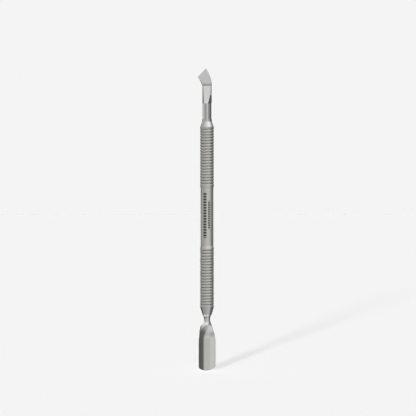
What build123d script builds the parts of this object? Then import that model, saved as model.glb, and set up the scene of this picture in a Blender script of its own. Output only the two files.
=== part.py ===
"""Double-ended cuticle pusher: ribbed hollow handle, scoop pusher below, hatchet blade above.

Millimetres. The origin is on the tool's axis, at the middle of the plain band of the handle.
+Z runs along the tool towards the blade, and -Y is the front, which the blade's ground face looks to.
Five pieces: the handle tube, a tapered plug in each end of it, and a working tip in each plug.
"""

import os
from math import cos, radians, sin, sqrt

from build123d import *

# ---- Driving dimensions ----------------------------------------------------------------------

# Handle tube
band_diameter = 5.78          # plain middle band
band_length = 26.0
band_chamfer_length = 1.0     # cone between the band and the ribs
rib_diameter = 6.25           # over the crests
groove_count = 20             # on each side of the band
groove_pitch = 1.278
groove_width = 0.80
groove_depth = 0.22
crest_crown = 0.035           # how far a crest's edges fall below its middle
first_groove_gap = 1.08       # band chamfer to the middle of the first groove
last_groove_gap = 1.00        # middle of the last groove to the tube's end
tube_bore = 4.60
tube_edge_chamfer = 0.10

# End plugs
plug_cone_length = 3.5
plug_mouth_diameter = 4.20    # outside, where the pusher tip comes out
blade_collar_diameter = 4.46  # outside, where the blade tip comes out
blade_collar_length = 1.0     # plain collar on the blade end plug
plug_stem_length = 6.0
stem_clearance = 0.01         # radial, stem to tube
tang_bore = 3.00
tang_clearance = 0.01         # radial, tang to plug
tang_end_gap = 0.4            # air left behind the tang

# Blade tip
tang_length = 5.0
shank_diameter = 4.00
shank_length = 7.15
neck_length = 7.90
neck_base_width = 4.16
neck_width = 4.40
neck_base_depth = 4.10
neck_face_width = 2.80
neck_base_chamfer = 0.75      # depth of the long corner facets at the shank
neck_top_chamfer = 0.28       # and where the neck meets the blade
neck_toe_length = 1.40        # the front face's lowest part, which twists
neck_toe_front = 1.50         # axis to the front face, above the toe
neck_toe_left_front = 1.75    # and at the shank, on the left: the right side comes further forward
foot_facet = (42.0, 0.0, 0.25)    # on the right: degrees turned from the front, degrees leaning up,
top_facet = (45.0, 5.7, 1.50)     # and how far right of the axis it starts, at the shank or the blade
facet_end_lean = -35.0        # degrees, the short cut that ends the second facet in the blade
neck_flare_length = 2.2       # where the round shank opens out into the flats
neck_flare_radius = 3.0
blade_height = 8.00
blade_point_left = 4.40       # left corner of the cutting edge, from the axis
blade_point_drop = 4.30       # that corner below the top of the blade
blade_tip_left = 0.46         # top of the blade, from the axis
blade_back_bulge = (1.28, 3.40)   # a point on the curved back: right of the axis, below the top
blade_heel_radius = 6.25
blade_front = 0.62            # ground face to the middle plane
blade_back = 0.42             # back face to the middle plane
blade_side_bevel = 0.32       # bevels that frame the ground face, measured across the face
blade_foot_bevel = 1.00
blade_bevel_depth = 0.27
edge_bevel_width = 1.70       # cutting bevel, ground on the back
edge_land = 0.14              # thickness left at the cutting edge

# Pusher tip
throat_radius = 1.375         # thinnest part of the neck
throat_length = 0.50
throat_overlap = 0.45         # the neck's cylinder runs this far into the top of the shoulder
throat_flare_radius = 4.20
throat_mouth_radius = 2.05    # where the neck meets the plug
scoop_turn = 25.0             # degrees, the scoop faces this far to the right of the front
scoop_length = 22.50          # working end to the start of the neck
scoop_end_radius = 6.1        # rounding of the working end, seen square on
trough_radius = 8.40
trough_floor = 0.92           # deepest line of the trough behind the tool's axis
trough_straight = 14.2        # working end to where the trough starts to rise
trough_rise_radius = 10.0

# The scoop's back is elliptical in cross-section, and keeps this section over its lower part
scoop_half_width = 4.24
scoop_half_depth = 2.10
scoop_shift = 0.45            # the ellipse's centre in front of the tool's axis
scoop_shoulder = 12.5         # working end to where the shoulder starts
scoop_end_half_depth = 1.66   # at the working end, which is ground thinner
scoop_end_allowance = 0.5     # blank left past the working end, for its rounding

# Shoulder: evenly spaced sections from the neck down, each the share of the way from the neck's
# round section to the scoop's section that its half width, half depth and shift have gone, and how
# far its middle lies to the left
shoulder_sections = [
    (0.000, 0.00, 0.00, 0.00),
    (0.175, 0.17, 0.00, 0.06),
    (0.407, 0.35, 0.00, 0.36),
    (0.560, 0.41, 0.00, 0.29),
    (0.680, 0.43, 0.04, 0.20),
    (0.757, 0.48, 0.11, 0.14),
    (0.828, 0.55, 0.22, 0.08),
    (0.887, 0.64, 0.42, 0.03),
    (0.945, 0.77, 0.64, 0.00),
    (0.983, 0.89, 0.84, 0.00),
    (1.000, 1.00, 1.00, 0.00),
]

# ---- Derived sizes ---------------------------------------------------------------------------

band_radius = band_diameter / 2
rib_radius = rib_diameter / 2
crest_edge_radius = rib_radius - crest_crown
groove_floor_radius = rib_radius - groove_depth
ribs_start = band_length / 2 + band_chamfer_length
first_groove = ribs_start + first_groove_gap
last_groove = first_groove + (groove_count - 1) * groove_pitch
tube_half = last_groove + last_groove_gap
handle_half = tube_half + plug_cone_length

shank_top = handle_half + shank_length
neck_top = shank_top + neck_length
blade_top = neck_top + blade_height

flare_reach = throat_flare_radius - (throat_mouth_radius - throat_radius)
throat_mouth_height = sqrt(throat_flare_radius**2 - flare_reach**2)
pusher_end = -handle_half - throat_mouth_height - throat_length - scoop_length

# The scoop's own directions: across its width, and out of its hollow face
turn = radians(scoop_turn)
across = (cos(turn), sin(turn), 0)
facing = (sin(turn), -cos(turn), 0)


# ---- Handle tube -----------------------------------------------------------------------------

with BuildPart() as handle_tube:
    with BuildSketch(Plane.XZ) as tube_profile:
        with BuildLine():
            Line((tube_bore / 2, 0), (band_radius, 0))
            Line((band_radius, 0), (band_radius, band_length / 2))
            start = Line((band_radius, band_length / 2), (crest_edge_radius, ribs_start)) @ 1
            for groove in range(groove_count):
                middle = first_groove + groove * groove_pitch
                groove_start = (crest_edge_radius, middle - groove_width / 2)
                groove_end = (crest_edge_radius, middle + groove_width / 2)
                crest_middle = (rib_radius, (start.Y + groove_start[1]) / 2)
                ThreePointArc(start, crest_middle, groove_start)
                start = ThreePointArc(groove_start, (groove_floor_radius, middle), groove_end) @ 1
            end_edge = (rib_radius, tube_half - tube_edge_chamfer)
            Line(start, end_edge)
            Line(end_edge, (rib_radius - tube_edge_chamfer, tube_half))
            Line((rib_radius - tube_edge_chamfer, tube_half), (tube_bore / 2, tube_half))
            Line((tube_bore / 2, tube_half), (tube_bore / 2, 0))
        make_face()
        mirror(about=Plane.XZ)
    revolve(axis=Axis.Z)


# ---- End plugs -------------------------------------------------------------------------------

def end_plug(side, mouth_diameter, collar_length):
    """A tapered plug: side is +1 at the blade end and -1 at the pusher end."""
    stem_radius = tube_bore / 2 - stem_clearance
    mouth_radius = mouth_diameter / 2
    bore_radius = tang_bore / 2
    bore_depth = tang_length + tang_end_gap
    outline = [
        (bore_radius, handle_half),
        (mouth_radius, handle_half),
        (mouth_radius, handle_half - collar_length),
        (rib_radius, tube_half + tube_edge_chamfer),
        (rib_radius - tube_edge_chamfer, tube_half),
        (stem_radius, tube_half),
        (stem_radius, tube_half - plug_stem_length),
        (0, tube_half - plug_stem_length),
        (0, handle_half - bore_depth),
        (bore_radius, handle_half - bore_depth),
    ]
    corners = [(radius, side * height) for radius, height in dict.fromkeys(outline)]
    with BuildPart() as plug:
        with BuildSketch(Plane.XZ):
            with BuildLine():
                Polyline(*corners, close=True)
            make_face()
        revolve(axis=Axis.Z)
    return plug


blade_end_plug = end_plug(+1, blade_collar_diameter, blade_collar_length)
pusher_end_plug = end_plug(-1, plug_mouth_diameter, 0)


# ---- Blade tip -------------------------------------------------------------------------------

def neck_section(width, left_front, front, back, chamfer_depth):
    """Corners of the flattened neck's cross-section, seen along the tool."""
    half, face = width / 2, neck_face_width / 2
    return [
        (-face, -left_front),
        (face, -front),
        (half, chamfer_depth - front),
        (half, back - chamfer_depth),
        (face, back),
        (-face, back),
        (-half, back - chamfer_depth),
        (-half, chamfer_depth - left_front),
    ]


def facet_plane(turned, leaning, right, front, height):
    """Plane of a facet on the right: how it faces in degrees, and a point that it passes through."""
    turned, leaning = radians(turned), radians(leaning)
    outward = (sin(turned) * cos(leaning), -cos(turned) * cos(leaning), sin(leaning))
    return Plane(origin=(right, -front, height), z_dir=outward)


blade_left = (-blade_point_left, blade_top - blade_point_drop)
blade_peak = (-blade_tip_left, blade_top)
blade_curve = (blade_back_bulge[0], blade_top - blade_back_bulge[1])
blade_right_foot = (neck_width / 2, neck_top)
blade_left_foot = (-neck_width / 2, neck_top)
neck_top_front = blade_front - blade_bevel_depth

with BuildPart() as blade_tip:
    # Blade: a flat plate whose ground face is framed by bevels
    with BuildSketch(Plane.XZ.offset(-blade_back)):
        with BuildLine():
            cutting_line = Line(blade_left, blade_peak)
            ThreePointArc(blade_peak, blade_curve, blade_right_foot)
            Line(blade_right_foot, blade_left_foot)
            RadiusArc(blade_left_foot, blade_left, -blade_heel_radius)
        make_face()
    extrude(amount=blade_back + blade_front)
    ground_face = blade_tip.faces().sort_by(Axis.Y)[0]
    side_edges = ground_face.edges().filter_by(GeomType.CIRCLE)
    chamfer(side_edges, blade_side_bevel, blade_bevel_depth, reference=ground_face)
    ground_face = blade_tip.faces().sort_by(Axis.Y)[0]
    foot_edge = ground_face.edges().sort_by(Axis.Z)[0]
    chamfer(foot_edge, blade_foot_bevel, blade_bevel_depth, reference=ground_face)

    # Cutting bevel, ground on the back along the slanted edge
    along = Vector(blade_peak[0] - blade_left[0], 0, blade_peak[1] - blade_left[1]).normalized()
    inward = Vector(along.Z, 0, -along.X)
    with BuildSketch(Plane(origin=(blade_left[0], 0, blade_left[1]), x_dir=inward, z_dir=along)):
        with BuildLine():
            Polyline(
                (0, edge_land - blade_front),
                (edge_bevel_width, blade_back),
                (edge_bevel_width, 2 * blade_back),
                (-edge_bevel_width, 2 * blade_back),
                (-edge_bevel_width, edge_land - blade_front),
                close=True,
            )
        make_face()
    extrude(amount=blade_height, both=True, mode=Mode.SUBTRACT)

    # Short cut in the blade's right foot, where the neck's narrow facet ends
    facet_turned, _, facet_right = top_facet
    with BuildSketch(facet_plane(facet_turned, facet_end_lean, facet_right, neck_top_front, neck_top)):
        Rectangle(blade_height, blade_height)
    extrude(amount=neck_width, mode=Mode.SUBTRACT)

    # Shank, and the tang that sits in the plug
    with BuildSketch(Plane.XY.offset(handle_half)):
        Circle(shank_diameter / 2)
    extrude(amount=shank_length)
    with BuildSketch(Plane.XY.offset(handle_half - tang_length)):
        Circle(tang_bore / 2 - tang_clearance)
    extrude(amount=tang_length)

with BuildPart() as flattened_neck:
    base_half = neck_base_depth / 2
    rise = neck_toe_length / neck_length
    toe_width = neck_base_width + rise * (neck_width - neck_base_width)
    toe_back = base_half + rise * (blade_back - base_half)
    toe_chamfer = neck_base_chamfer + rise * (neck_top_chamfer - neck_base_chamfer)
    for height, *sizes in (
        (shank_top, neck_base_width, neck_toe_left_front, base_half, base_half, neck_base_chamfer),
        (shank_top + neck_toe_length, toe_width, neck_toe_front, neck_toe_front, toe_back, toe_chamfer),
        (neck_top, neck_width, neck_top_front, neck_top_front, blade_back, neck_top_chamfer),
    ):
        with BuildSketch(Plane.XY.offset(height)):
            Polygon(*neck_section(*sizes), align=None)
    loft(ruled=True)
    # The round shank opens out into the flats
    with BuildSketch(Plane.XZ):
        with BuildLine():
            Polyline(
                (0, shank_top),
                (shank_diameter / 2, shank_top),
                (neck_flare_radius, shank_top + neck_flare_length),
                (neck_flare_radius, neck_top),
                (0, neck_top),
                close=True,
            )
        make_face()
    revolve(axis=Axis.Z, mode=Mode.INTERSECT)
    # Two facets on the right: a wide one that runs out upwards, and a narrow one along the neck
    for facet, facet_front, facet_height in (
        (foot_facet, base_half, shank_top),
        (top_facet, neck_top_front, neck_top),
    ):
        with BuildSketch(facet_plane(*facet, facet_front, facet_height)):
            Rectangle(4 * neck_length, 4 * neck_length)
        extrude(amount=neck_base_width, mode=Mode.SUBTRACT)

with blade_tip:
    add(flattened_neck)


# ---- Pusher tip ------------------------------------------------------------------------------

def scoop_plane(height):
    """A horizontal plane this far above the working end, x across the scoop and y to its back."""
    return Plane(origin=(0, 0, pusher_end + height), x_dir=across, z_dir=(0, 0, 1))


with BuildPart() as pusher_tip:
    # Shoulder
    section_gap = (scoop_length - scoop_shoulder) / (len(shoulder_sections) - 1)
    for step, (width_share, depth_share, shift_share, leftward) in enumerate(shoulder_sections):
        height = scoop_length - step * section_gap
        half_width = throat_radius + width_share * (scoop_half_width - throat_radius)
        half_depth = throat_radius + depth_share * (scoop_half_depth - throat_radius)
        with BuildSketch(scoop_plane(height)):
            with Locations((-leftward, -shift_share * scoop_shift)):
                Ellipse(half_width, half_depth)
    loft()

    # Lower part, which thins towards the working end
    for height, half_depth in (
        (scoop_shoulder, scoop_half_depth),
        (scoop_shoulder / 2, scoop_half_depth),
        (-scoop_end_allowance, scoop_end_half_depth),
    ):
        with BuildSketch(scoop_plane(height)):
            with Locations((0, -scoop_shift)):
                Ellipse(scoop_half_width, half_depth)
    loft(ruled=True)

    # Rounded working end
    with BuildSketch(Plane(origin=(0, 0, pusher_end), x_dir=across, z_dir=facing)):
        with Locations((0, scoop_end_radius)):
            Circle(scoop_end_radius)
            Rectangle(2 * scoop_end_radius, scoop_length, align=(Align.CENTER, Align.MIN))
    extrude(amount=2 * trough_radius, both=True, mode=Mode.INTERSECT)

    # Hollow-ground trough: straight from the working end, then rising to the front
    with BuildSketch(scoop_plane(trough_straight)) as trough:
        rise_axis = trough_floor - trough_rise_radius
        side = scoop_end_radius
        side_floor = trough_floor - trough_radius + sqrt(trough_radius**2 - side**2)
        with BuildLine():
            ThreePointArc((-side, side_floor), (0, trough_floor), (side, side_floor))
            Polyline((side, side_floor), (side, rise_axis), (-side, rise_axis), (-side, side_floor))
        make_face()
    rise_origin = scoop_plane(trough_straight).from_local_coords(Vector(0, rise_axis, 0))
    revolve(trough.sketch, axis=Axis(rise_origin, across), mode=Mode.SUBTRACT)
    extrude(amount=-2 * trough_straight, mode=Mode.SUBTRACT)

    # Neck, flaring out to the plug's mouth
    throat_foot = pusher_end + scoop_length - throat_overlap
    throat_top = pusher_end + scoop_length + throat_length
    with BuildSketch(Plane.XZ):
        with BuildLine():
            Polyline(
                (throat_mouth_radius, -handle_half),
                (0, -handle_half),
                (0, throat_foot),
                (throat_radius, throat_foot),
                (throat_radius, throat_top),
            )
            TangentArc((throat_radius, throat_top), (throat_mouth_radius, -handle_half), tangent=(0, 1))
        make_face()
    revolve(axis=Axis.Z)

    # Tang that sits in the plug
    with BuildSketch(Plane.XY.offset(-handle_half)):
        Circle(tang_bore / 2 - tang_clearance)
    extrude(amount=tang_length)


# ---- Write the pieces ------------------------------------------------------------------------

pieces = {
    "handle_tube": handle_tube,
    "blade_end_plug": blade_end_plug,
    "pusher_end_plug": pusher_end_plug,
    "blade_tip": blade_tip,
    "pusher_tip": pusher_tip,
}
os.makedirs("parts", exist_ok=True)
for name, piece in pieces.items():
    piece.part.label = name
    export_step(piece.part, f"parts/{name}.step")
    box = piece.part.bounding_box()
    print(f"{name}: {box.size.X:.2f} x {box.size.Y:.2f} x {box.size.Z:.2f} mm, {piece.part.volume:.1f} mm3")
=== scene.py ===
# %% [markdown]
# # A double-ended cuticle pusher
# The tool is all stainless steel: a ribbed handle tube, a tapered plug in each end of it, a hatchet
# blade above and a hollow-ground scoop below. Its five pieces come from CAD as exact solids, so what
# is left to make is how each piece of steel was finished, because that is what tells them apart.
# Everything is in metres, and the tool's axis is the Z axis.

# %% Load the tool
import math

import bpy
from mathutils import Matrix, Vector


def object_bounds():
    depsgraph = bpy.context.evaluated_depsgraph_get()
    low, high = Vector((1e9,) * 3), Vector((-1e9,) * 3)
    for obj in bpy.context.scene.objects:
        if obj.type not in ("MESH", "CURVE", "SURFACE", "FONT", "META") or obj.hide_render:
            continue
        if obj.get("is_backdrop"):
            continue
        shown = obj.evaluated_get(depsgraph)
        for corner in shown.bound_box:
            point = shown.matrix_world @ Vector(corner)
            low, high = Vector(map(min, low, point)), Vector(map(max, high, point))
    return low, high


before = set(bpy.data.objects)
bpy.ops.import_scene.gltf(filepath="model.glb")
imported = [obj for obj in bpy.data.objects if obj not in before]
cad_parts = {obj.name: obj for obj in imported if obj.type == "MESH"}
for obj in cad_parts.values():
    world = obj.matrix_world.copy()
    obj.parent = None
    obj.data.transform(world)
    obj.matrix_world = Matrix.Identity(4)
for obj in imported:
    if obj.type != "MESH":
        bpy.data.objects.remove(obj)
cad_low, cad_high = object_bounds()
MM = 0.001
print(f"the tool is {(cad_high.z - cad_low.z) / MM:.1f} mm long, in {len(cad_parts)} pieces")

# %% [markdown]
# Colours are picked in sRGB hex, but Blender's shaders work in linear light. One function turns a hex
# value into linear numbers, and every colour goes through it.

# %% Colour helper
def colour(hex_code):
    """An sRGB hex colour such as '#D0D0CE' as linear RGBA."""
    channels = [int(hex_code[i:i + 2], 16) / 255 for i in (1, 3, 5)]
    linear = [c / 12.92 if c <= 0.04045 else ((c + 0.055) / 1.055) ** 2.4 for c in channels]
    return (*linear, 1.0)


# %% [markdown]
# A shader is a graph of nodes. One small function adds any node: it sets the node's properties, links
# or fills its inputs, and gives back its outputs. So a material below reads as a list of steps. The
# settings that come back often have short names. A Mix node keeps a set of sockets for each kind of
# data, and those for colours are only found by their place.

# %% Node helper
def add_node(tree, kind, settings, inputs):
    """Adds a node. Its inputs are a list in the node's own order, or a dict by name or place."""
    node = tree.nodes.new("ShaderNode" + kind)
    for name, value in settings.items():
        setattr(node, name, value)
    for key, value in inputs.items() if isinstance(inputs, dict) else enumerate(inputs):
        if isinstance(value, bpy.types.NodeSocket):
            tree.links.new(value, node.inputs[key])
        else:
            node.inputs[key].default_value = value
    return node.outputs


PLUS, MINUS = {"operation": "ADD"}, {"operation": "SUBTRACT"}
TIMES, OVER = {"operation": "MULTIPLY"}, {"operation": "DIVIDE"}
TIMES_PLUS, ROOT = {"operation": "MULTIPLY_ADD"}, {"operation": "SQRT"}
BELOW, ABOVE, NEAR = {"operation": "LESS_THAN"}, {"operation": "GREATER_THAN"}, {"operation": "COMPARE"}
COLOUR_MIX = {"data_type": "RGBA"}
MIX_FACTOR, MIX_FIRST, MIX_SECOND, MIX_RESULT = 0, 6, 7, 2
print("node helper ready")

# %% [markdown]
# Every steel here is the same metal under a different finish. So each material is one metallic shader,
# and only its colour, roughness and relief differ. The colours are a little darker than clean
# stainless steel, because relief too fine to draw hides part of the light that it reflects.

# %% Steel helpers
def new_steel(name):
    """An empty material, with its tree and the place on the piece in metres."""
    material = bpy.data.materials.new(name)
    material.use_nodes = True
    tree = material.node_tree
    tree.nodes.clear()
    return material, tree, add_node(tree, "TexCoord", {}, {})["Object"]


def finish_steel(material, surface, piece_names):
    """Ends a steel with its shader, and puts it on these CAD pieces."""
    tree = material.node_tree
    shader = add_node(tree, "BsdfPrincipled", {}, {"Metallic": 1.0, **surface})
    add_node(tree, "OutputMaterial", {}, {"Surface": shader["BSDF"]})
    for name in piece_names:
        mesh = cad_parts[name].data
        mesh.materials.clear()
        mesh.materials.append(material)
        print(f"{name}: {material.name} on {len(mesh.polygons)} faces")


# %% [markdown]
# ## Bead-blasted handle
# The handle tube is turned, then blasted with fine glass beads, which leave small even dents. They
# scatter the light, so the round handle shades softly from a bright middle to dark sides. Roughness
# alone would look cast, and brushing would draw lines, so the dents are a noise. A dent is about
# 0.05 mm across, which is finer than a picture shows, so they are drawn at 0.12 mm.

# %% Bead-blasted dents
blasted_steel, tree, place = new_steel("bead_blasted_stainless")
dent_size, dent_depth, dent_strength = 0.12 * MM, 0.012 * MM, 0.35
dents = add_node(tree, "TexNoise", {}, {"Vector": place, "Scale": 1 / dent_size, "Detail": 1.0})[0]
relief = {"Height": dents, "Strength": dent_strength, "Distance": dent_depth}
dented = add_node(tree, "Bump", {}, relief)["Normal"]
print(f"dents {dent_size / MM:.2f} mm across")

# %% [markdown]
# The floor of a groove lies in shade, and the grooves' own shape throws that shade too faintly, so it is
# painted into the colour: the steel gets darker from the foot of a crest down to the floor. The distance
# from the tool's axis tells how deep a point lies. The plain band in the middle is as thin as a floor, so
# it is left out by its height.

# %% Painted shade in the groove floors
groove_floor, crest_foot = 2.93 * MM, 3.07 * MM
band_half = 14.0 * MM
x, y, z = add_node(tree, "SeparateXYZ", {}, [place]).values()
square_x = add_node(tree, "Math", TIMES, [x, x])[0]
square_both = add_node(tree, "Math", TIMES_PLUS, [y, y, square_x])[0]
radius = add_node(tree, "Math", ROOT, [square_both])[0]
depth_range = {"Value": radius, "From Min": crest_foot, "From Max": groove_floor}
depth = add_node(tree, "MapRange", {}, depth_range)["Result"]
from_middle = add_node(tree, "Math", {"operation": "ABSOLUTE"}, [z])[0]
on_ribs = add_node(tree, "Math", ABOVE, [from_middle, band_half])[0]
# Painted shade: on the ribs the colour darkens from the crest foot down to the groove floor.
groove_shade = add_node(tree, "Math", TIMES, [depth, on_ribs])[0]
groove_shade_mix = {MIX_FACTOR: groove_shade, MIX_FIRST: colour("#C4C3C0"), MIX_SECOND: colour("#8C8B89")}
groove_shaded = add_node(tree, "Mix", COLOUR_MIX, groove_shade_mix)[MIX_RESULT]
print(f"grooves darken over {(crest_foot - groove_floor) / MM:.2f} mm of depth")

# %% [markdown]
# A handle like this carries a laser-etched marking, which is dark oxide in the steel, not paint. Here
# it is two plain rows of index bars, one wide and one narrow: they keep the rhythm of a marking and
# say nothing. A row is a box on the front, cut into bars by the fraction of the height over the pitch.

# %% Etched index bars
def bar_row(middle_x, width, low_z, high_z, pitch, share):
    """1 on the bars of a row and 0 off them, with sizes in millimetres."""
    middle_z, half_height = (low_z + high_z) / 2 * MM, (high_z - low_z) / 2 * MM
    beside = add_node(tree, "Math", NEAR, [x, middle_x * MM, width / 2 * MM])[0]
    along = add_node(tree, "Math", NEAR, [z, middle_z, half_height])[0]
    pitches = add_node(tree, "Math", OVER, [z, pitch * MM])[0]
    step = add_node(tree, "Math", {"operation": "FRACT"}, [pitches])[0]
    on_bar = add_node(tree, "Math", BELOW, [step, share])[0]
    inside = add_node(tree, "Math", TIMES, [beside, along])[0]
    return add_node(tree, "Math", TIMES, [inside, on_bar])[0]


wide_row = bar_row(middle_x=-0.92, width=1.36, low_z=-9.4, high_z=10.8, pitch=1.24, share=0.68)
narrow_row = bar_row(middle_x=0.89, width=0.90, low_z=-5.4, high_z=7.2, pitch=1.00, share=0.66)
rows = add_node(tree, "Math", PLUS, [wide_row, narrow_row])[0]
on_front = add_node(tree, "Math", BELOW, [y, 0.0])[0]
etched = add_node(tree, "Math", TIMES, [rows, on_front])[0]
# The etched bars go over the colour that already holds the painted groove shade.
etched_mix = {MIX_FACTOR: etched, MIX_FIRST: groove_shaded, MIX_SECOND: colour("#4E4E50")}
shaded_and_marked = add_node(tree, "Mix", COLOUR_MIX, etched_mix)[MIX_RESULT]
blasted_surface = {"Base Color": shaded_and_marked, "Roughness": 0.42, "Normal": dented}
finish_steel(blasted_steel, blasted_surface, ["handle_tube"])

# %% [markdown]
# ## Turned end plugs
# The plugs are turned on a lathe and left with the fine rings of the tool. The rings spread a
# reflection along the tool but not round it, so a plug looks crisper than the handle. A noise that
# only changes with height makes rings of uneven depth, as a real cut does. They are about 0.05 mm
# apart, and drawn at 0.16 mm so that they show.

# %% Satin turned steel
satin_steel, tree, place = new_steel("satin_turned_stainless")
ring_pitch, ring_depth, ring_strength = 0.16 * MM, 0.01 * MM, 0.3
height = add_node(tree, "SeparateXYZ", {}, [place])["Z"]
ring_place = add_node(tree, "CombineXYZ", {}, {"Z": height})[0]
rings = add_node(tree, "TexNoise", {}, {"Vector": ring_place, "Scale": 1 / ring_pitch})[0]
relief = {"Height": rings, "Strength": ring_strength, "Distance": ring_depth}
turned = add_node(tree, "Bump", {}, relief)["Normal"]
satin_surface = {"Base Color": colour("#C2C1BF"), "Roughness": 0.26, "Normal": turned}
finish_steel(satin_steel, satin_surface, ["blade_end_plug", "pusher_end_plug"])

# %% [markdown]
# ## Blade
# The blade's shank, neck and bevels are polished, and mirror the studio in narrow streaks. Its broad
# front face is left matt by the grinding wheel. That face is the only surface as far forward as this
# on the blade, so how far forward and how high a point lies is enough to find it.

# %% Ground face
POLISHED = 0.10
wheel_extra = 0.26
blade_steel, tree, place = new_steel("polished_stainless_ground_face")
face_front, face_height = -0.60 * MM, 7.1 * MM
x, y, z = add_node(tree, "SeparateXYZ", {}, [place]).values()
ahead = add_node(tree, "Math", BELOW, [y, face_front])[0]
above_foot = add_node(tree, "Math", ABOVE, [z, cad_high.z - face_height])[0]
ground = add_node(tree, "Math", TIMES, [ahead, above_foot])[0]
wheel_roughness = add_node(tree, "Math", TIMES_PLUS, [ground, wheel_extra, POLISHED])[0]
print(f"ground face: the top {face_height / MM:.1f} mm of the front")

# %% [markdown]
# The wheel's scratches run square to the cutting edge, which slopes at 48 degrees. Noise that is
# stretched along them draws them: it changes every 0.16 mm across a scratch and every 3 mm along it.
# Real ones are some 0.03 mm wide, so they are drawn coarser.

# %% Wheel scratches
edge_slope = math.radians(48)
scratch_width, scratch_length = 0.16 * MM, 3.0 * MM
scratch_depth, scratch_strength = 0.012 * MM, 0.5
x_wide = add_node(tree, "Math", TIMES, [x, math.cos(edge_slope) / scratch_width])[0]
over_scratch = add_node(tree, "Math", TIMES_PLUS, [z, math.sin(edge_slope) / scratch_width, x_wide])[0]
x_long = add_node(tree, "Math", TIMES, [x, -math.sin(edge_slope) / scratch_length])[0]
along_scratch = add_node(tree, "Math", TIMES_PLUS, [z, math.cos(edge_slope) / scratch_length, x_long])[0]
scratch_place = add_node(tree, "CombineXYZ", {}, [over_scratch, along_scratch])[0]
scratches = add_node(tree, "TexNoise", {}, {"Vector": scratch_place, "Scale": 1.0})[0]
on_face = add_node(tree, "Math", TIMES, [scratches, ground])[0]
relief = {"Height": on_face, "Strength": scratch_strength, "Distance": scratch_depth}
scratched = add_node(tree, "Bump", {}, relief)["Normal"]
blade_surface = {"Base Color": colour("#C8C8C6"), "Roughness": wheel_roughness, "Normal": scratched}
finish_steel(blade_steel, blade_surface, ["blade_tip"])

# %% [markdown]
# ## Scoop
# The pusher's neck and back are polished, and its hollow is ground by a drum that lies lengthwise and
# swings out at the top. The hollow is the only surface that touches the drum. So the shader works out
# the drum's shape again, and a point that lies on it is ground. First come the scoop's own
# directions: across it, and forward out of its hollow, which faces 25 degrees to the right.

# %% Scoop directions
scoop_steel, tree, place = new_steel("polished_stainless_brushed_scoop")
scoop_turn = math.radians(25)
x, y, z = add_node(tree, "SeparateXYZ", {}, [place]).values()
x_across = add_node(tree, "Math", TIMES, [x, math.cos(scoop_turn)])[0]
across = add_node(tree, "Math", TIMES_PLUS, [y, math.sin(scoop_turn), x_across])[0]
x_forward = add_node(tree, "Math", TIMES, [x, math.sin(scoop_turn)])[0]
forward = add_node(tree, "Math", TIMES_PLUS, [y, -math.cos(scoop_turn), x_forward])[0]
print(f"the hollow faces {math.degrees(scoop_turn):.0f} degrees to the right")

# %% [markdown]
# The drum is 8.4 mm in radius. Up to 14.2 mm above the working end its centre line is straight. Above
# that the line swings forward round an axis, so the distance to that axis stands in for the distance
# forward. A point within 0.03 mm of the drum's radius is part of the hollow.

# %% Drum-ground hollow
drum_radius, drum_centre = 8.40 * MM, 7.48 * MM
swing_centre, swing_height = 9.08 * MM, cad_low.z + 14.2 * MM
drum_nearness, drum_extra = 0.03 * MM, 0.10
over_swing = add_node(tree, "Math", MINUS, [z, swing_height])[0]
swing_rise = add_node(tree, "Math", {"operation": "MAXIMUM"}, [over_swing, 0.0])[0]
behind_swing = add_node(tree, "Math", MINUS, [swing_centre, forward])[0]
square_rise = add_node(tree, "Math", TIMES, [swing_rise, swing_rise])[0]
square_run = add_node(tree, "Math", TIMES_PLUS, [behind_swing, behind_swing, square_rise])[0]
swing_radius = add_node(tree, "Math", ROOT, [square_run])[0]
behind_drum = add_node(tree, "Math", PLUS, [swing_radius, drum_centre - swing_centre])[0]
square_across = add_node(tree, "Math", TIMES, [across, across])[0]
square_reach = add_node(tree, "Math", TIMES_PLUS, [behind_drum, behind_drum, square_across])[0]
reach = add_node(tree, "Math", ROOT, [square_reach])[0]
hollow = add_node(tree, "Math", NEAR, [reach, drum_radius, drum_nearness])[0]
drum_roughness = add_node(tree, "Math", TIMES_PLUS, [hollow, drum_extra, POLISHED])[0]
print(f"drum radius {drum_radius / MM:.1f} mm")

# %% [markdown]
# The drum leaves fine scratches from the neck to the working end. They are stretched noise again,
# 0.22 mm across and 9 mm along, where real ones are some 0.03 mm wide.

# %% Drum scratches
scratch_width, scratch_length = 0.22 * MM, 9.0 * MM
scratch_depth, scratch_strength = 0.015 * MM, 0.5
over_scratch = add_node(tree, "Math", OVER, [across, scratch_width])[0]
along_scratch = add_node(tree, "Math", OVER, [z, scratch_length])[0]
scratch_place = add_node(tree, "CombineXYZ", {}, [over_scratch, along_scratch])[0]
scratches = add_node(tree, "TexNoise", {}, {"Vector": scratch_place, "Scale": 1.0})[0]
in_hollow = add_node(tree, "Math", TIMES, [scratches, hollow])[0]
relief = {"Height": in_hollow, "Strength": scratch_strength, "Distance": scratch_depth}
scratched = add_node(tree, "Bump", {}, relief)["Normal"]
scoop_surface = {"Base Color": colour("#C8C8C6"), "Roughness": drum_roughness, "Normal": scratched}
finish_steel(scoop_steel, scoop_surface, ["pusher_tip"])

# %% [markdown]
# ## Floor
# The tool stands on a plain pale floor, painted matt. The lamps below are set so that the floor comes
# out as pale as the backdrop, and the two join with hardly a line. The floor is hidden from
# reflections, because the studio light below already holds a floor's share of the light.

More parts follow.
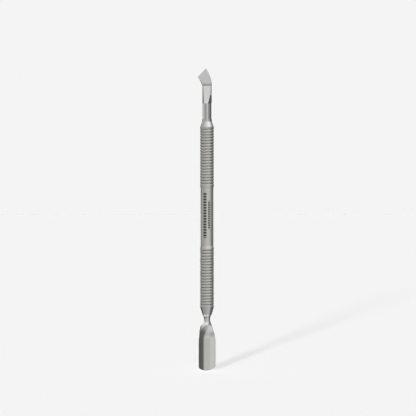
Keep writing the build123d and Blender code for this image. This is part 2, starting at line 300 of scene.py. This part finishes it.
# %% Floor
PALE = colour("#F4F4F4")
floor_half = 30.0
sides = [(-1, -1), (1, -1), (1, 1), (-1, 1)]
corners = [(x * floor_half, y * floor_half, cad_low.z) for x, y in sides]
floor_mesh = bpy.data.meshes.new("studio_floor")
floor_mesh.from_pydata(corners, [], [range(4)])
floor = bpy.data.objects.new("studio_floor", floor_mesh)
bpy.context.scene.collection.objects.link(floor)
floor_paint = bpy.data.materials.new("pale_matt_floor")
floor_paint.use_nodes = True
floor_paint.node_tree.nodes.clear()
matt = add_node(floor_paint.node_tree, "BsdfDiffuse", {}, {"Color": PALE})["BSDF"]
add_node(floor_paint.node_tree, "OutputMaterial", {}, {"Surface": matt})
floor_mesh.materials.append(floor_paint)
floor.visible_glossy = False
floor.visible_diffuse = False
floor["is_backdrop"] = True
print(f"floor {2 * floor_half:.0f} m wide at {cad_low.z / MM:.1f} mm")

# %% [markdown]
# ## Studio light
# What a polished tool looks like is mostly what stands round it. Soft boxes and dark flags stand all
# round it at every height, so they are drawn into the world as curves of brightness: one over the
# turn to the left or right of the camera, and one over the rise above or below level. A colour ramp
# holds each curve. Its stops are in degrees, and it mixes evenly between them.

# %% World directions
world = bpy.data.worlds.new("studio")
bpy.context.scene.world = world
world.use_nodes = True
tree = world.node_tree
tree.nodes.clear()
sky = add_node(tree, "TexCoord", {}, {})["Generated"]
x, y, z = add_node(tree, "SeparateXYZ", {}, [sky]).values()
to_camera = add_node(tree, "Math", TIMES, [y, -1.0])[0]
turn = add_node(tree, "Math", {"operation": "ARCTAN2"}, [x, to_camera])[0]
rise = add_node(tree, "Math", {"operation": "ARCSINE"}, [z])[0]


def light_curve(angle, full_turn, stops):
    """Brightness along an angle in radians, through (degrees, brightness) stops."""
    share = add_node(tree, "Math", TIMES_PLUS, [angle, math.degrees(1) / full_turn, 0.5])[0]
    brightness = add_node(tree, "ValToRGB", {}, [share])["Color"]
    elements = brightness.node.color_ramp.elements
    elements.remove(elements[1])
    first_level = stops[0][1]
    elements[0].position = 0.0
    elements[0].color = (first_level, first_level, first_level, 1.0)
    for degrees, level in stops[1:]:
        elements.new(degrees / full_turn + 0.5).color = (level, level, level, 1.0)
    return brightness


print("turn and rise run from -180 to 180 and from -90 to 90 degrees")

# %% [markdown]
# The walls are bright in front and behind, and dark to both sides, which is what gives round steel
# its dark edges. The heights are brightest high up and far down. They are darkest a little under
# level, which draws a darker line along a bevel that leans forward. Straight up and straight down the
# walls meet, so there they fade to one even level.

# %% Walls
WALLS = [
    (-180, 0.64), (-152, 0.44), (-138, 0.12), (-115, 0.12), (-95, 0.22), (-75, 0.43), (-60, 0.56),
    (-40, 0.67), (-20, 0.82), (0, 0.88), (20, 0.88), (40, 0.88), (56, 0.86), (63, 0.76), (67, 0.42),
    (71, 0.13), (105, 0.15), (132, 0.18), (150, 0.44), (180, 0.64),
]
HEIGHTS = [
    (-90, 0.56), (-62, 0.71), (-48, 0.62), (-39, 0.46), (-33, 0.36), (-27, 0.31), (-18, 0.44), (-8, 0.52),
    (-3, 0.53), (0, 0.51), (20, 0.60), (45, 0.75), (65, 0.76), (90, 0.74),
]
even_level = 0.72
walls = light_curve(turn, 360, WALLS)
heights = light_curve(rise, 180, HEIGHTS)
upright = add_node(tree, "Math", TIMES, [z, z])[0]
walls_rest = add_node(tree, "Math", MINUS, [1.0, upright])[0]
even_part = add_node(tree, "Math", TIMES, [upright, even_level])[0]
faded_walls = add_node(tree, "Math", TIMES_PLUS, [walls, walls_rest, even_part])[0]
walls_light = add_node(tree, "Math", TIMES, [faded_walls, heights])[0]
print(f"walls from {len(WALLS)} stops and heights from {len(HEIGHTS)}")

# %% [markdown]
# The shank stands upright, so it mirrors one narrow level ring of the studio. A strip light and the
# flags beside it stand in that ring: they give the shank its bright and dark lines, and touch nothing
# that leans.

# %% Stripes at eye level
STRIPES = [
    (-180, 0.25), (-120, 0.25), (-112, 1.0), (-96, 1.0), (-84, 0.44), (-69, 0.28), (-40, 0.17),
    (-16, 0.15), (2, 0.25), (20, 0.25), (32, 0.10), (45, 0.10), (60, 0.22), (80, 0.24), (180, 0.25),
]
stripe_gain = 4.0
ring_middle, ring_half = math.sin(math.radians(2.0)), math.sin(math.radians(3.5))
stripes = light_curve(turn, 360, STRIPES)
in_ring = add_node(tree, "Math", NEAR, [z, ring_middle, ring_half])[0]
extra = add_node(tree, "Math", TIMES_PLUS, [stripes, stripe_gain, -1.0])[0]
gain = add_node(tree, "Math", TIMES_PLUS, [in_ring, extra, 1.0])[0]
glow = add_node(tree, "Math", TIMES, [walls_light, gain])[0]
print(f"{len(STRIPES)} stripe stops")

# %% [markdown]
# Round white cards light what the walls leave dark: the shoulder of the scoop, the cones of the plugs
# and the underside. A card fades out smoothly from its middle, so that no edge of it shows.

# %% Cards
def card(turn_degrees, rise_degrees, half_width, brightness):
    """A round white card far away, at this turn and rise as seen from the tool."""
    turned, risen = math.radians(turn_degrees), math.radians(rise_degrees)
    middle = (math.sin(turned) * math.cos(risen), -math.cos(turned) * math.cos(risen), math.sin(risen))
    nearness = add_node(tree, "VectorMath", {"operation": "DOT_PRODUCT"}, [sky, middle])["Value"]
    rim = math.cos(math.radians(half_width))
    fade = {"Value": nearness, "From Min": rim, "From Max": 1.0, "To Max": brightness}
    return add_node(tree, "MapRange", {"interpolation_type": "SMOOTHSTEP"}, fade)["Result"]


CARDS = [
    (-92, -50, 28, 0.45),   # underside, on the left
    (52, 48, 38, 0.26),     # upper cone, on the right
    (-125, 40, 24, 0.70),   # scoop's left shoulder
    (90, 24, 22, 0.30),     # right edges
    (42, -29, 22, 0.10),    # top of the hollow
    (-97, -4, 10, 0.80),    # pusher's neck, on the left
]
for sizes in CARDS:
    glow = add_node(tree, "Math", PLUS, [glow, card(*sizes)])[0]
print(f"{len(CARDS)} cards")

# %% [markdown]
# The camera sees a plain pale backdrop in place of the studio, while reflections see the studio. The
# world is kept out of the floor's own light, which comes from the lamps below, so the floor stays
# even right up to the tool.

# %% Backdrop
studio_strength = 2.0
studio = add_node(tree, "Background", {}, {"Color": glow, "Strength": studio_strength})[0]
backdrop = add_node(tree, "Background", {}, {"Color": PALE, "Strength": 1.0})[0]
to_lens = add_node(tree, "LightPath", {}, {})["Is Camera Ray"]
seen = add_node(tree, "MixShader", {}, [to_lens, studio, backdrop])[0]
add_node(tree, "OutputWorld", {}, {"Surface": seen})
world.cycles_visibility.diffuse = False
print("the camera sees the backdrop")

# %% [markdown]
# A low lamp in front throws the tool's long soft shadow back over the floor, and a lamp overhead
# without a shadow keeps it pale. Both are so far away that their rays are parallel, as the sun's are,
# and neither shows in the steel. A matt floor comes out in its own colour when the light that falls
# on it adds up to pi. So the overhead lamp gives what the low lamp leaves.

# %% Lamps
def far_lamp(name, turn_degrees, rise_degrees, strength, spread_degrees, casts_shadow):
    """A lamp with parallel rays, which stands this far left of straight behind the camera and up."""
    turned, risen = math.radians(turn_degrees), math.radians(rise_degrees)
    level_x, level_y = math.sin(turned), math.cos(turned)
    way = Vector((level_x * math.cos(risen), level_y * math.cos(risen), -math.sin(risen)))
    data = bpy.data.lights.new(name, "SUN")
    data.energy = strength
    data.angle = math.radians(spread_degrees)
    data.use_shadow = casts_shadow
    lamp = bpy.data.objects.new(name, data)
    lamp.rotation_euler = way.to_track_quat("-Z", "Y").to_euler()
    lamp.visible_glossy = False
    bpy.context.scene.collection.objects.link(lamp)
    print(f"{name}: {rise_degrees} degrees up")


low_turn, low_rise, low_strength, low_spread = 8.6, 5.9, 4.3, 2.6
overhead_strength = math.pi - low_strength * math.sin(math.radians(low_rise))
far_lamp("low_lamp", low_turn, low_rise, low_strength, low_spread, casts_shadow=True)
far_lamp("overhead_lamp", 0, 90, overhead_strength, spread_degrees=10, casts_shadow=False)

# %% [markdown]
# ## Camera
# The camera looks level at the front of the standing tool from 1.2 m, where a slim tool shows hardly
# any perspective. The lens follows from the width that the picture should take in.

# %% Camera
camera_distance, picture_width = 1.2, 187.03 * MM
camera_right, camera_height = 0.44 * MM, 4.05 * MM
camera_data = bpy.data.cameras.new("camera")
camera_data.sensor_width = 36.0
camera_data.lens = camera_data.sensor_width * camera_distance / picture_width
camera_data.clip_start = 0.01
camera_data.clip_end = 100.0
camera = bpy.data.objects.new("camera", camera_data)
camera.location = (camera_right, -camera_distance, camera_height)
camera.rotation_euler = (math.radians(90), 0, 0)
bpy.context.scene.collection.objects.link(camera)
bpy.context.scene.camera = camera
bpy.context.scene.view_settings.view_transform = "Standard"
print(f"lens {camera_data.lens:.0f} mm")

# %% [markdown]
# ## Sizes
# Nothing was added to the tool, so its size is still exactly that of the CAD. Both boxes are kept.

# %% Sizes
low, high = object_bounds()
sizes = {"cad": [list(cad_low), list(cad_high)], "visual": [list(low), list(high)]}
print(f"size {', '.join(f'{side / MM:.2f}' for side in high - low)} mm")
